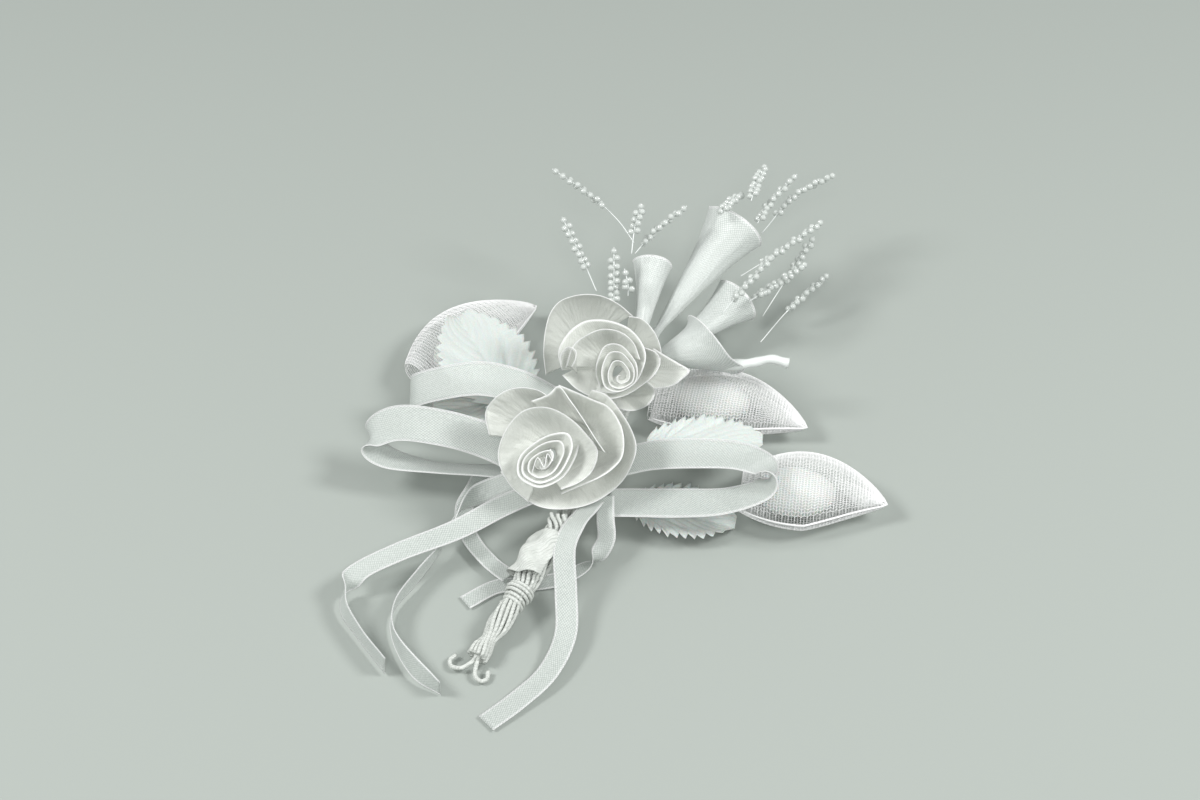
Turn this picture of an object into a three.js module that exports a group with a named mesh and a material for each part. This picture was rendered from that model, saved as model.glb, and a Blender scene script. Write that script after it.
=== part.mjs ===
import * as THREE from 'three';

// All sizes in mm. The spray lies on z = 0, its stem towards -Y.
const midX = 2.8;                // takes the middle of the spray to x = 0
const midY = 2.6;
const cloth = 0.5;               // thickness of a satin or net piece
const tailWidth = 6;             // narrow satin ribbon
const loopWidth = 9.5;           // wide satin ribbon
const pearl = 3;                 // pearl diameter
const pearlPitch = 3.1;
const thread = 0.3;              // radius of the clear thread that holds the pearls
const wireRadius = 0.65;         // paper-covered wire
const almondHalf = [11, 7.8, 5.6];

const bouquet = new THREE.Group();
bouquet.name = 'calla_lily_spray';

const satin = ['satin', 0xf4f2ee, 0.35];
const net = ['net', 0xf2f4f2, 0.8];
const paper = ['paper', 0xefece2, 0.9];
const sugar = ['sugar', 0xf3f0e8, 0.6];
const pearls = ['pearls', 0xf0eee9, 0.25];

const point = (x, y, z) => new THREE.Vector3(x - midX, y - midY, z);
const way = (x, y, z) => new THREE.Vector3(x, y, z).normalize();
const curve = (route) => new THREE.CatmullRomCurve3(route.map(([x, y, z]) => point(x, y, z)));
const mix = (a, b, t) => a + (b - a) * t;

function add(name, shape, [kind, colour, roughness]) {
  const material = new THREE.MeshStandardMaterial({ color: colour, roughness });
  material.name = kind;
  const mesh = new THREE.Mesh(shape, material);
  mesh.name = name;
  bouquet.add(mesh);
}

// a thin closed sheet: a flat box bent so that its middle follows place(u, v)
function bentSheet(place, across, along) {
  const sheet = new THREE.BoxGeometry(1, 1, 1, across, along, 1);
  const spots = sheet.attributes.position;
  const step = 0.002;
  const slope = (f, t) => f(Math.min(t + step, 1)).sub(f(Math.max(t - step, 0)));
  for (let i = 0; i < spots.count; i += 1) {
    const u = spots.getX(i) + 0.5;
    const v = spots.getY(i) + 0.5;
    const up = slope((t) => place(t, v), u).cross(slope((t) => place(u, t), v)).normalize();
    const spot = place(u, v).addScaledVector(up, spots.getZ(i) * cloth);
    spots.setXYZ(i, spot.x, spot.y, spot.z);
  }
  sheet.computeVertexNormals();
  return sheet;
}

// each place on the route: x, y, z and the direction of the ribbon's width
function ribbon(route, width, along) {
  const line = curve(route);
  const widths = new THREE.CatmullRomCurve3(route.map((spot) => way(...spot.slice(3))));
  return bentSheet((u, v) => {
    const ahead = line.getTangent(v);
    const side = widths.getPoint(v);
    side.addScaledVector(ahead, -side.dot(ahead)).normalize();
    return line.getPoint(v).addScaledVector(side, (u - 0.5) * width);
  }, 1, along);
}

// a round strand along a route; each ring is its share of the way and its radius
function strand(route, rings, sides = 6) {
  const line = curve(route);
  const rod = new THREE.CylinderGeometry(1, 1, 1, sides, rings.length - 1);
  const spots = rod.attributes.position;
  for (let i = 0; i < spots.count; i += 1) {
    const [t, radius] = rings[Math.round((spots.getY(i) + 0.5) * (rings.length - 1))];
    const ahead = line.getTangentAt(t);
    const side = new THREE.Vector3().crossVectors(ahead, way(0, 0, 1)).normalize();
    const other = new THREE.Vector3().crossVectors(side, ahead);
    const spot = line.getPointAt(t).addScaledVector(side, spots.getX(i) * radius)
      .addScaledVector(other, spots.getZ(i) * radius);
    spots.setXYZ(i, spot.x, spot.y, spot.z);
  }
  rod.computeVertexNormals();
  return rod;
}

const evenly = (count, first, last = first) => Array.from({ length: count + 1 },
  (_, i) => [i / count, mix(first, last, i / count)]);

function spray(name, beads, route) {
  const length = curve(route).getLength();
  const start = length - beads * pearlPitch;
  const rings = [[0, thread], [start * 0.5 / length, thread], [start / length, thread]];
  for (let i = 0; i < beads; i += 1) {
    [[0.08, 0.5], [0.3, 0.95], [0.7, 0.95], [0.92, 0.5]].forEach(([part, share]) => {
      rings.push([(start + (i + part) * pearlPitch) / length, share * pearl / 2]);
    });
  }
  rings.push([1, thread]);
  add(name, strand(route, rings), pearls);
}

// a flower's solid: a closed profile (radius, height) turned round and leant over
function turned(profile, centre, axis, sides) {
  const shape = new THREE.LatheGeometry(profile.map((p) => new THREE.Vector2(...p)), sides);
  shape.applyQuaternion(new THREE.Quaternion().setFromUnitVectors(way(0, 1, 0), way(...axis)));
  const spot = point(...centre);
  return shape.translate(spot.x, spot.y, spot.z);
}

// a satin cone rolled from one piece, its outer edge drawn out into a tip
function calla(name, base, mouth, mouthRadius, tip, tipTurn, flat) {
  const from = point(...base);
  const axis = point(...mouth).sub(from);
  const length = axis.length();
  axis.normalize();
  const side = new THREE.Vector3().crossVectors(axis, way(0, 0, 1)).normalize();
  const up = new THREE.Vector3().crossVectors(side, axis);
  add(name, bentSheet((u, v) => {
    const turn = tipTurn + (u - 0.5) * 2.25 * Math.PI;
    const radius = mix(1.8, mouthRadius, v ** 0.85) + 1.1 * u;
    const reach = v * length + tip * v ** 3 * Math.cos((u - 0.5) * Math.PI) ** 4;
    return from.clone().addScaledVector(axis, reach)
      .addScaledVector(side, radius * Math.cos(turn))
      .addScaledVector(up, radius * flat * Math.sin(turn));
  }, 18, 5), satin);
}

// a net pouch open at its base, flat underneath where it meets z = floor
function pouch(name, base, tip, halfWidth, halfHeight, floor, bow) {
  const steps = 8;
  const wall = 0.5;
  const length = Math.hypot(tip[0] - base[0], tip[1] - base[1]);
  const bulge = (t) => Math.sin(Math.PI * (0.14 + 0.86 * t)) ** 0.7;
  const profile = [];
  for (let i = steps; i >= 0; i -= 1) profile.push([bulge(i / steps) + 0.001, i / steps, 0]);
  for (let i = 0; i <= steps; i += 1) profile.push([bulge(i / steps) + 0.001, i / steps, wall]);
  profile[0][0] = 0;
  profile[profile.length - 1][0] = 0;
  const shape = new THREE.LatheGeometry(profile.map(([r, t, w]) => new THREE.Vector2(r, t + w)), 16);
  const spots = shape.attributes.position;
  const ahead = way(tip[0] - base[0], tip[1] - base[1], 0);
  const middle = floor + halfHeight;
  for (let i = 0; i < spots.count; i += 1) {
    const row = i % profile.length;
    const [, t, inset] = profile[row];
    const round = Math.hypot(spots.getX(i), spots.getZ(i));
    const sideways = round === 0 ? 0 : spots.getX(i) / round;
    const upwards = round === 0 ? 0 : spots.getZ(i) / round;
    const wide = Math.max(bulge(t) * halfWidth - inset, 0) * (round === 0 ? 0 : 1);
    const high = Math.max(bulge(t) * halfHeight * 1.25 - inset, 0) * (round === 0 ? 0 : 1);
    const along = t * (length - 2 * inset);
    const z = Math.max(middle + high * upwards, floor + inset);
    const out = wide * sideways + bow * Math.sin(Math.PI * t);
    const spot = point(base[0] + ahead.x * along - ahead.y * out,
      base[1] + ahead.y * along + ahead.x * out, Math.min(z, middle + high));
    spots.setXYZ(i, spot.x, spot.y, spot.z);
  }
  shape.computeVertexNormals();
  add(name, shape, net);
}

function almond(name, centre, turn, lift = 0) {
  const shape = new THREE.SphereGeometry(1, 12, 8).scale(...almondHalf).rotateY(lift).rotateZ(turn);
  const spot = point(...centre);
  add(name, shape.translate(spot.x, spot.y, spot.z), sugar);
}

// a leaf lies between its base and its apex and is folded along its middle
function leaf(name, base, apex, halfWidth, fold, arch) {
  const from = point(...base);
  const ahead = point(...apex).sub(from);
  const side = new THREE.Vector3().crossVectors(ahead, way(0, 0, 1)).normalize();
  add(name, bentSheet((u, v) => {
    const across = (u - 0.5) * 2;
    const wide = halfWidth * (0.12 + 0.88 * Math.sin(Math.PI * v ** 0.85 * 0.97) ** 0.8);
    return from.clone().addScaledVector(ahead, v).addScaledVector(side, -across * wide)
      .add(new THREE.Vector3(0, 0, fold * across ** 2 + arch * Math.sin(Math.PI * v)));
  }, 4, 8), satin);
}

// the bundle of wires, its bindings and its bent ends
const stemRoute = [[-15.5, -37, 9.5], [-20.5, -45, 8.5], [-25, -54, 6.6], [-30.9, -64.5, 4.6],
  [-36, -73.5, 3]];
add('stem_bundle', strand(stemRoute, evenly(8, 4, 2.5), 10), paper);
add('core_bundle', strand([[-14.6, -35.6, 9.6], [-12, -25, 6.4], [-6, -9, 5], [1, 10, 6],
  [7, 27, 8]], evenly(8, 3.6, 2), 10), paper);
function binding(name, place, length, inner) {
  const line = curve(stemRoute);
  const outer = inner + 1.2;
  const profile = [[inner, -length / 2], [outer, -length / 2 + 0.5], [outer + 0.4, 0],
    [outer, length / 2 - 0.5], [inner, length / 2], [inner, -length / 2]];
  const ring = new THREE.LatheGeometry(profile.map((p) => new THREE.Vector2(...p)), 14);
  ring.applyQuaternion(new THREE.Quaternion().setFromUnitVectors(way(0, 1, 0),
    line.getTangentAt(place)));
  const spot = line.getPointAt(place);
  add(name, ring.translate(spot.x, spot.y, spot.z), paper);
}
binding('binding_upper', 0.62, 5, 3.7);
add('stem_hook_left', strand([[-38.4, -75.3, 2.2], [-41, -75.6, 1.4], [-43, -73.6, 1.2],
  [-41.6, -71.6, 1.4]], evenly(8, wireRadius)), paper);
add('stem_hook_right', strand([[-36.6, -77, 1.6], [-35.6, -79.3, 1.1], [-33.6, -78.8, 1],
  [-33, -76.6, 1.2]], evenly(8, wireRadius)), paper);
add('paper_wrap', bentSheet((u, v) => {
  const turn = mix(1.3, 3.6, u);
  const line = curve(stemRoute).getPointAt(0.06 + 0.24 * v);
  const grow = 5 + 1.4 * Math.sin(5 * u + 4 * v) ** 2;
  return line.add(new THREE.Vector3(Math.cos(turn) * grow * 0.88,
    -Math.cos(turn) * grow * 0.47, Math.sin(turn) * grow));
}, 10, 3), paper);

// two roses wound from ribbon
const roseProfile = (size, depth) => [[0, -0.95], [0.2, -0.95], [0.45, -0.72], [0.8, -0.3],
  [0.97, 0.1], [0.93, 0.32], [0.6, 0.3], [0.42, 0.42], [0, 0.42]].map(([r, h]) =>
  [r * size, h * depth]);
add('rose_lower', turned(roseProfile(19.5, 15), [-13.4, -19.1, 26], [-0.12, -0.45, 0.88], 20),
  satin);
add('rose_upper', turned(roseProfile(13.5, 13), [-1.5, 13.5, 28], [0.1, -0.62, 0.78], 16), satin);
add('rose_upper_outer_petal', bentSheet((u, v) => {
  const turn = mix(0.35, 1.02, u) * Math.PI;
  const high = mix(-4, 12, v);
  const grow = 15.2 + 1.5 * Math.sin(Math.PI * v);
  const out = Math.sin(turn) * grow;
  return point(-2.5 + Math.cos(turn) * grow, 16 + out * 0.8 + high * -0.3, 27 + high + out * 0.12);
}, 10, 3), satin);
add('rose_upper_side_petal', bentSheet((u, v) => {
  const wide = 7.5 * Math.sin(Math.PI * (0.2 + 0.8 * v)) ** 0.8;
  return point(13.5 + 9.5 * v, 15.5 + (u - 0.5) * wide * 1.2, 28.5 - 2 * v + (u - 0.5) * wide);
}, 2, 5), satin);

// the calla lilies fan out from the middle
calla('calla_left', [7.5, 31, 18.5], [11.5, 53.5, 26.5], 5.8, 2, 0.5 * Math.PI, 0.8);
calla('calla_back', [14.5, 39.5, 16.5], [35.5, 67, 29], 9.8, 4, 1.6 * Math.PI, 0.85);
calla('calla_middle', [21, 34, 11], [38.5, 48, 15], 7, 3, 0.2 * Math.PI, 0.85);
calla('calla_right', [14.5, 21, 22], [31, 23.5, 24.5], 7.6, 15, 1.75 * Math.PI, 0.85);
add('calla_wire_back', strand([[7.6, 28.6, 8.6], [10.5, 34, 11], [13.6, 38, 15]], evenly(4, wireRadius)),
  paper);

// pearl sprays
spray('pearl_spray_01', 5, [[6, 60, 29], [1, 67, 32], [-7, 71, 38], [-18, 78, 42]]);
spray('pearl_spray_02', 5, [[-5, 39, 29], [-9, 47, 34], [-15, 61, 38]]);
spray('pearl_spray_03', 5, [[0, 36, 27], [0, 42, 31], [0, 50, 36]]);
spray('pearl_spray_04', 2, [[4, 37, 29], [4, 39, 31.5], [3, 43, 34]]);
spray('pearl_spray_05', 3, [[5, 46, 37], [6, 53, 41], [8, 60, 44]]);
spray('pearl_spray_06', 5, [[6, 50, 33.5], [12, 55, 38], [21, 60, 43]]);
spray('pearl_spray_07', 5, [[31, 60, 40.5], [34, 67, 38.8], [38, 75, 35]]);
spray('pearl_spray_08', 5, [[40, 66.5, 39.5], [42, 75, 39.5], [45, 84, 38.5]]);
spray('pearl_spray_09', 6, [[42, 64, 33], [46, 70, 36], [54, 78, 40]]);
spray('pearl_spray_10', 7, [[44, 70, 24], [54, 80, 30], [66, 84, 35]]);
spray('pearl_spray_11', 7, [[37, 51, 24], [48, 59, 26], [62, 71, 28]]);
spray('pearl_spray_12', 5, [[44, 50, 9], [51, 60, 14], [60, 73, 20]]);
spray('pearl_spray_13', 5, [[31, 36, 23], [37, 42, 27], [46, 52, 31]]);
spray('pearl_spray_14', 7, [[39, 40, 24.2], [46, 48, 22.6], [57, 60, 21]]);
spray('pearl_spray_15', 5, [[43, 40, 8], [52, 53, 9], [64, 63, 14]]);

// net pouches with sugared almonds, and the stamped satin leaves
pouch('net_petal_left', [-56, 26], [-23, 57], 12.5, 6.3, 0, 3);
almond('almond_left', [-42.5, 38, 6.8], 0.66);
pouch('net_petal_right_upper', [11, 17], [54.5, 6.5], 11.5, 6.3, 0, 4);
almond('almond_right_upper', [28, 17, 6.8], -0.2);
pouch('net_petal_right_lower', [35, -17.5], [74.6, -23], 13, 6.3, 0, 2);
almond('almond_right_lower', [50, -18.7, 6.8], -0.12);
add('net_piece_rear', bentSheet((u, v) => point(mix(16, 37, v), mix(30, 35, u),
  4 + 1.5 * Math.sin(4 * v) + 2 * u), 3, 6), net);
leaf('leaf_left_back', [-27.5, 6, 14.2], [-45.5, 42, 17], 13, 1.2, 1);
leaf('leaf_left_front', [-20, 16, 10], [-51, 9.5, 9.5], 9, 1.5, 1);
leaf('leaf_right_upper', [9, -5.5, 12], [41, -6.5, 14.5], 9, 0.8, 0.4);
leaf('leaf_right_lower', [5, -21, 3], [33, -27, 2], 9, 2, 1);

// ribbon loops and tails
add('loop_left_upper', ribbon([[-17, 5.5, 17.5, 0, 1, 0.3], [-26, 7.5, 21.5, 0, 1, 0.4],
  [-37, 9.5, 23, 0, 1, 0.4], [-49, 10, 20.5, 0, 1, 0.4], [-57.5, 11.5, 15, 0, 1, 0.4],
  [-53, 15, 7, 0, 1, 0.2], [-40, 17.5, 5, 0, 1, 0.1], [-26, 17.5, 5, 0, 1, 0.1]], loopWidth, 20), satin);
add('loop_left_lower', ribbon([[-25, -12.5, 13, 0, 1, 0.4], [-34, -9.5, 17, 0, 1, 0.5],
  [-46, -7, 19.8, 0, 1, 0.5], [-60, -4, 19, 0, 1, 0.5], [-67.8, -5.5, 14.5, 0.1, 1, 0.3],
  [-63, -8.5, 10, 0.1, 1, -0.2], [-50, -11, 8.6, 0, 0.9, -0.5], [-38, -12, 8.6, 0, 0.9, -0.5],
  [-30, -12.5, 8.6, 0, 0.9, -0.4]], loopWidth, 20), satin);
add('loop_right', ribbon([[2, -13, 13, 0.1, 1, 0.1], [11, -13.5, 16.2, 0.1, 1, 0.1],
  [22, -15.5, 19, 0.1, 1, 0.1], [34, -18, 20.5, 0.1, 1, 0], [41.5, -22.5, 20, 0, 1, -0.1],
  [40.5, -26.5, 17, -0.1, 1, -0.2], [30, -28.5, 14, -0.1, 1, -0.1],
  [18, -27, 11.5, -0.1, 1, 0], [7, -25.5, 10, -0.1, 1, 0], [-1.5, -25, 9.5, 0, 1, 0]], loopWidth, 20), satin);
add('tail_left_outer', ribbon([[-22, -23.5, 12, 0.2, 0.8, 0.3], [-31, -28.5, 11.5, 0.2, 0.8, 0.3],
  [-43, -36.5, 11, 0.2, 1, 0.3],
  [-58, -42.5, 9, 0.1, 1, 0.2], [-69, -48, 6.5, 0.2, 0.9, 0.3], [-72, -56, 4.5, 0.3, 0.2, 1],
  [-67, -66, 4, 0.1, 0, 1], [-59.5, -77, 4, 0.1, 0, 1]], tailWidth, 24), satin);
add('tail_left_inner', ribbon([[-28, -18.5, 11, 0.2, 1, 0.5], [-35, -20.5, 9.5, 0.3, 1, 0.5],
  [-42, -26, 8.8, 0.5, 0.3, 0.9],
  [-46.5, -37, 6, 0.4, 0.2, 1], [-53, -47, 4.2, 0.2, 0.2, 1], [-58.5, -57, 4, 0.2, 0, 1],
  [-58, -67, 4, 0.1, 0, 1], [-52, -77.5, 4, 0.3, 0.3, 1], [-45, -84, 3.4, 0.6, -0.6, 0.8]],
tailWidth, 24), satin);
add('tail_front', ribbon([[-8, -32, 12.8, 1, 0, 0.1], [-11, -38.5, 15, 1, 0, 0.1],
  [-13.4, -45, 13, 1, 0, 0.1],
  [-13, -55, 7.5, 1, 0, 0], [-13, -67, 4.2, 1, -0.1, 0.1], [-17.5, -78, 2.4, 1, -0.5, 0.1],
  [-25, -86, 1.2, 0.7, -0.7, 0], [-33, -93, 0.6, 0.6, -0.8, 0]], tailWidth, 20), satin);
add('ribbon_right_return', ribbon([[-2.5, -25.5, 12.6, 1, 0.3, 0.4], [-2.5, -31.5, 10, 1, 0.3, 0.4],
  [-2.5, -36.5, 6.5, 1, 0.2, 0.3],
  [-7, -41.5, 3.2, 0.6, 0.8, 0.1], [-15, -45, 1, 0.2, 1, 0.05], [-24, -46.5, 0.6, 0.1, 1, 0],
  [-32, -47.5, 0.6, 0.2, 1, 0], [-40, -53, 0.6, 0.6, 1, 0]], tailWidth - 1, 20), satin);
add('ribbon_left_arc', ribbon([[-37, -10.5, 5, -1, 0.1, 0.1], [-39, -16.5, 5, -1, 0.1, 0.2],
  [-41.5, -22, 3.2, -1, 0, 0.2],
  [-39.5, -31, 2.2, -1, -0.3, 0.1], [-34, -39.5, 2, -0.7, -0.7, 0.1],
  [-28.5, -45, 2, -0.7, -0.7, 0]], tailWidth - 1, 16), satin);

export default bouquet;
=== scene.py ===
import math
import bpy
import bmesh
from mathutils import Matrix, Vector


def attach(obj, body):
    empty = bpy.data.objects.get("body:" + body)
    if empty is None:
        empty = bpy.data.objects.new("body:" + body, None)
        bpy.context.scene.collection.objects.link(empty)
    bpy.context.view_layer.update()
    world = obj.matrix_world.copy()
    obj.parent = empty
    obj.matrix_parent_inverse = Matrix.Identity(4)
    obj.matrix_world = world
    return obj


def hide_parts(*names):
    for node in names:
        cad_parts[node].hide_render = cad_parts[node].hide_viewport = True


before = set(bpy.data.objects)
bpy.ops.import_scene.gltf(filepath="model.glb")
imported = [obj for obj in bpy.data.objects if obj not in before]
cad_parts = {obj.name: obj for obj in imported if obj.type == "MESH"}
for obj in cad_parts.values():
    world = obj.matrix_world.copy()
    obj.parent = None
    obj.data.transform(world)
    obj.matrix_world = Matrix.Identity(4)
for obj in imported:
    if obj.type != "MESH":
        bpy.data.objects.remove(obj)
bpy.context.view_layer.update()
print("model loaded")

middle = Vector((2.8, 2.6, 0))  # the routes below are measured from this point, in mm
view = {"target": (-6.8, 9.4, 12), "distance": 660, "lens": 70, "lift": 45}


def at(x, y, z):
    return (Vector((x, y, z)) - middle) / 1000


def between(a, b, t):
    return a + (b - a) * t


def onCurve(points, t):  # a point on a smooth curve through the given ones
    place = min(max(t, 0), 1) * (len(points) - 1)
    i = min(int(place), len(points) - 2)
    f = place - i
    b, c = points[i], points[i + 1]
    a = points[i - 1] if i > 0 else b * 2 - c
    d = points[i + 2] if i + 2 < len(points) else c * 2 - b
    return (b * 2 + (c - a) * f + (a * 2 - b * 5 + c * 4 - d) * f * f
            + (b * 3 - a - c * 3 + d) * f ** 3) / 2


lift = math.radians(view["lift"])
target = Vector(view["target"]) / 1000
camera = bpy.data.objects.new("camera", bpy.data.cameras.new("camera"))
camera.data.lens = view["lens"]
camera.data.sensor_width = 36
camera.location = target + Vector((0, -math.cos(lift), math.sin(lift))) * view["distance"] / 1000
camera.rotation_euler = (math.pi / 2 - lift, 0, 0)
camera.data.clip_start = 0.01
bpy.context.scene.collection.objects.link(camera)
bpy.context.scene.camera = camera


def hexColour(text):  # sRGB hex to the linear colour that shaders use
    parts = [int(text[i:i + 2], 16) / 255 for i in (0, 2, 4)]
    return [p / 12.92 if p <= 0.04045 else ((p + 0.055) / 1.055) ** 2.4 for p in parts] + [1]


def addNode(tree, kind, links=(), **settings):
    node = tree.nodes.new(kind)
    for name, value in settings.items():
        if hasattr(node, name):
            setattr(node, name, value)
        else:
            node.inputs[name.replace("_", " ")].default_value = value
    for socket, source in links:
        tree.links.new(source, node.inputs[socket])
    return node


def newMaterial(name, colour, **settings):
    material = bpy.data.materials.new(name)
    material.use_nodes = True
    shader = material.node_tree.nodes["Principled BSDF"]
    shader.inputs["Base Color"].default_value = hexColour(colour)
    for socket, value in settings.items():
        shader.inputs[socket.replace("_", " ")].default_value = value
    return material, material.node_tree, shader


def wovenSatin(name, light, shade, roughness, dots, creased, cover):
    # polyester satin ribbon: long floats give the gloss; the cloth is painted light on its woven
    # dots and shade between them, and its dotted woven edge catches the light as painted white
    # highlights
    material, tree, shader = newMaterial(name, light, Roughness=roughness, Sheen_Weight=0.3,
                                         Alpha=cover)
    uv = addNode(tree, "ShaderNodeUVMap", uv_map="cloth")
    # the woven dots are spaced from 0.45 to 0.6 mm, coarser than the real 0.2 mm, so that they show
    slant = addNode(tree, "ShaderNodeMapping", [("Vector", uv.outputs[0])],
                    Rotation=(0.0, 0.0, 0.6))
    weave = addNode(tree, "ShaderNodeTexVoronoi", [("Vector", slant.outputs[0])], Scale=dots,
                    Randomness=0.15)
    grain = addNode(tree, "ShaderNodeTexNoise", [("Vector", uv.outputs[0])], Scale=1.2, Detail=3.0)
    away = weave.outputs["Distance"]
    both = addNode(tree, "ShaderNodeMath", [(0, grain.outputs["Fac"]), (1, away), (2, away)],
                   operation="MULTIPLY_ADD")
    spread = addNode(tree, "ShaderNodeMapRange", [(0, both.outputs[0])])
    spread.inputs["From Min"].default_value = 0.1
    spread.inputs["From Max"].default_value = 0.8
    # painted light and shade: the cloth is lightest on the woven dots and painted darker between
    # them, with a random grain
    tone = addNode(tree, "ShaderNodeMix", [("Factor", spread.outputs[0])], data_type="RGBA")
    tone.inputs["A"].default_value = hexColour(light)
    tone.inputs["B"].default_value = hexColour(shade)
    gap = addNode(tree, "ShaderNodeAttribute", attribute_name="edgeGap")
    rim = addNode(tree, "ShaderNodeMath", [(0, gap.outputs["Fac"])], operation="LESS_THAN")
    rim.inputs[1].default_value = 0.55  # the woven edge is about half a millimetre wide
    # painted highlight: the dots along the woven edge are painted white where they catch the light
    glintDots = addNode(tree, "ShaderNodeMath", [(1, weave.outputs["Distance"])], operation="SUBTRACT")
    glintDots.inputs[0].default_value = 1.0
    edgeHighlight = addNode(tree, "ShaderNodeMath", [(0, rim.outputs[0]), (1, glintDots.outputs[0])],
                     operation="MULTIPLY")
    edged = addNode(tree, "ShaderNodeMix", [("Factor", edgeHighlight.outputs[0]),
                                            ("A", tone.outputs["Result"])], data_type="RGBA")
    edged.inputs["B"].default_value = hexColour("ffffff")
    tree.links.new(edged.outputs["Result"], shader.inputs["Base Color"])
    # soft creases 3 mm apart run up the cloth
    along = addNode(tree, "ShaderNodeMapping", [("Vector", uv.outputs[0])], Scale=(0.33, 0.08, 1.0))
    crease = addNode(tree, "ShaderNodeTexNoise", [("Vector", along.outputs[0])], Scale=1.0,
                     Detail=2.0)
    soft = addNode(tree, "ShaderNodeBump", [("Height", crease.outputs["Fac"])], Strength=0.8,
                   Distance=0.001 * creased)
    bump = addNode(tree, "ShaderNodeBump", [("Height", both.outputs[0]),
                                            ("Normal", soft.outputs[0])], Strength=0.5,
                   Distance=0.0002)
    tree.links.new(bump.outputs[0], shader.inputs["Normal"])
    return material


def stampedSatin():
    # stiffened satin stamped by a hot die: a bright grainy face with sunk veins
    material, tree, shader = newMaterial("stampedSatin", "d2d7d4", Roughness=0.42,
                                         Sheen_Weight=0.3, Subsurface_Weight=0.15,
                                         Subsurface_Scale=0.001)
    uv = addNode(tree, "ShaderNodeUVMap", uv_map="cloth")
    grain = addNode(tree, "ShaderNodeTexNoise", [("Vector", uv.outputs[0])], Scale=2.6, Detail=4.0)
    tone = addNode(tree, "ShaderNodeMix", [("Factor", grain.outputs["Fac"])], data_type="RGBA")
    tone.inputs["A"].default_value = hexColour("b9c0bc")
    tone.inputs["B"].default_value = hexColour("d9ddda")
    tree.links.new(tone.outputs["Result"], shader.inputs["Base Color"])
    bump = addNode(tree, "ShaderNodeBump", [("Height", grain.outputs["Fac"])], Strength=0.5,
                   Distance=0.0003)
    tree.links.new(bump.outputs[0], shader.inputs["Normal"])
    return material


def crepePaper():
    # crepe paper wound round thin wire: matt, with fine cross ridges and hollows darkened by
    # painted shade
    material, tree, shader = newMaterial("crepePaper", "d9dcd8", Roughness=0.8)
    place = addNode(tree, "ShaderNodeTexCoord")
    turn = addNode(tree, "ShaderNodeMapping", [("Vector", place.outputs["Object"])],
                   Rotation=(0.0, 0.0, 1.05))
    ridges = addNode(tree, "ShaderNodeTexWave", [("Vector", turn.outputs[0])], Scale=420.0,
                     Distortion=5.0, Detail=3.0)
    hollowShade = addNode(tree, "ShaderNodeTexNoise", [("Vector", place.outputs["Object"])], Scale=500.0,
                    Detail=4.0)
    # painted shade: the noise darkens the paper in patches that stand for its shaded hollows
    tone = addNode(tree, "ShaderNodeMix", [("Factor", hollowShade.outputs["Fac"])], data_type="RGBA")
    tone.inputs["A"].default_value = hexColour("b9bdb7")
    tone.inputs["B"].default_value = hexColour("e2e5e1")
    tree.links.new(tone.outputs["Result"], shader.inputs["Base Color"])
    bump = addNode(tree, "ShaderNodeBump", [("Height", ridges.outputs["Fac"])], Strength=0.6,
                   Distance=0.0003)
    tree.links.new(bump.outputs[0], shader.inputs["Normal"])
    return material


def sugarShell():
    # panned sugar: matt, very slightly uneven
    material, tree, shader = newMaterial("sugarShell", "d3d7d4", Roughness=0.5,
                                         Subsurface_Weight=0.3, Subsurface_Scale=0.003)
    place = addNode(tree, "ShaderNodeTexCoord")
    lumps = addNode(tree, "ShaderNodeTexNoise", [("Vector", place.outputs["Object"])], Scale=260.0,
                    Detail=2.0)
    bump = addNode(tree, "ShaderNodeBump", [("Height", lumps.outputs["Fac"])], Strength=0.15,
                   Distance=0.0006)
    tree.links.new(bump.outputs[0], shader.inputs["Normal"])
    return material


def plainFinish(name, colour, **settings):
    material, tree, shader = newMaterial(name, colour, **settings)
    place = addNode(tree, "ShaderNodeTexCoord")
    cloud = addNode(tree, "ShaderNodeTexNoise", [("Vector", place.outputs["Object"])],
                    Scale=300.0, Detail=2.0)
    tone = addNode(tree, "ShaderNodeMix", [("Factor", cloud.outputs["Fac"])], data_type="RGBA")
    tone.inputs["A"].default_value = [c * 0.94 for c in hexColour(colour)[:3]] + [1]
    tone.inputs["B"].default_value = hexColour(colour)
    tree.links.new(tone.outputs["Result"], shader.inputs["Base Color"])
    return material


satin = wovenSatin("glossySatinRibbon", "ecf0ed", "c4cac6", 0.24, 1.6, 0.6, 0.92)
ribbonSatin = wovenSatin("sheerSatinRibbon", "eef2ef", "bfc6c1", 0.27, 1.9, 0.3, 0.6)
softSatin = wovenSatin("sheerRoseSatin", "f7f9f5", "dfe2db", 0.26, 1.7, 0.8, 0.84)
leafSatin = stampedSatin()
paper = crepePaper()
sugar = sugarShell()
netThread = plainFinish("nylonNet", "ffffff", Roughness=0.5, Sheen_Weight=0.6)
# acrylic pearls: a milky body under a clear shiny coat
pearl = plainFinish("acrylicPearl", "d6dbd7", Roughness=0.2, Coat_Weight=1.0,
                    Coat_Roughness=0.03, Alpha=0.8)
clearThread = plainFinish("nylonThread", "e6eae8", Roughness=0.2)
print("materials made")


farFromEdge = 9  # mm: too far from a woven edge to show its painted highlight
rimRadius = 0.11  # mm, of the raised woven rim
clothThick = 0.16  # mm
leastSide = 10.5  # mm: a cut narrower than this is stated as wide as this, at its true area


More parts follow.
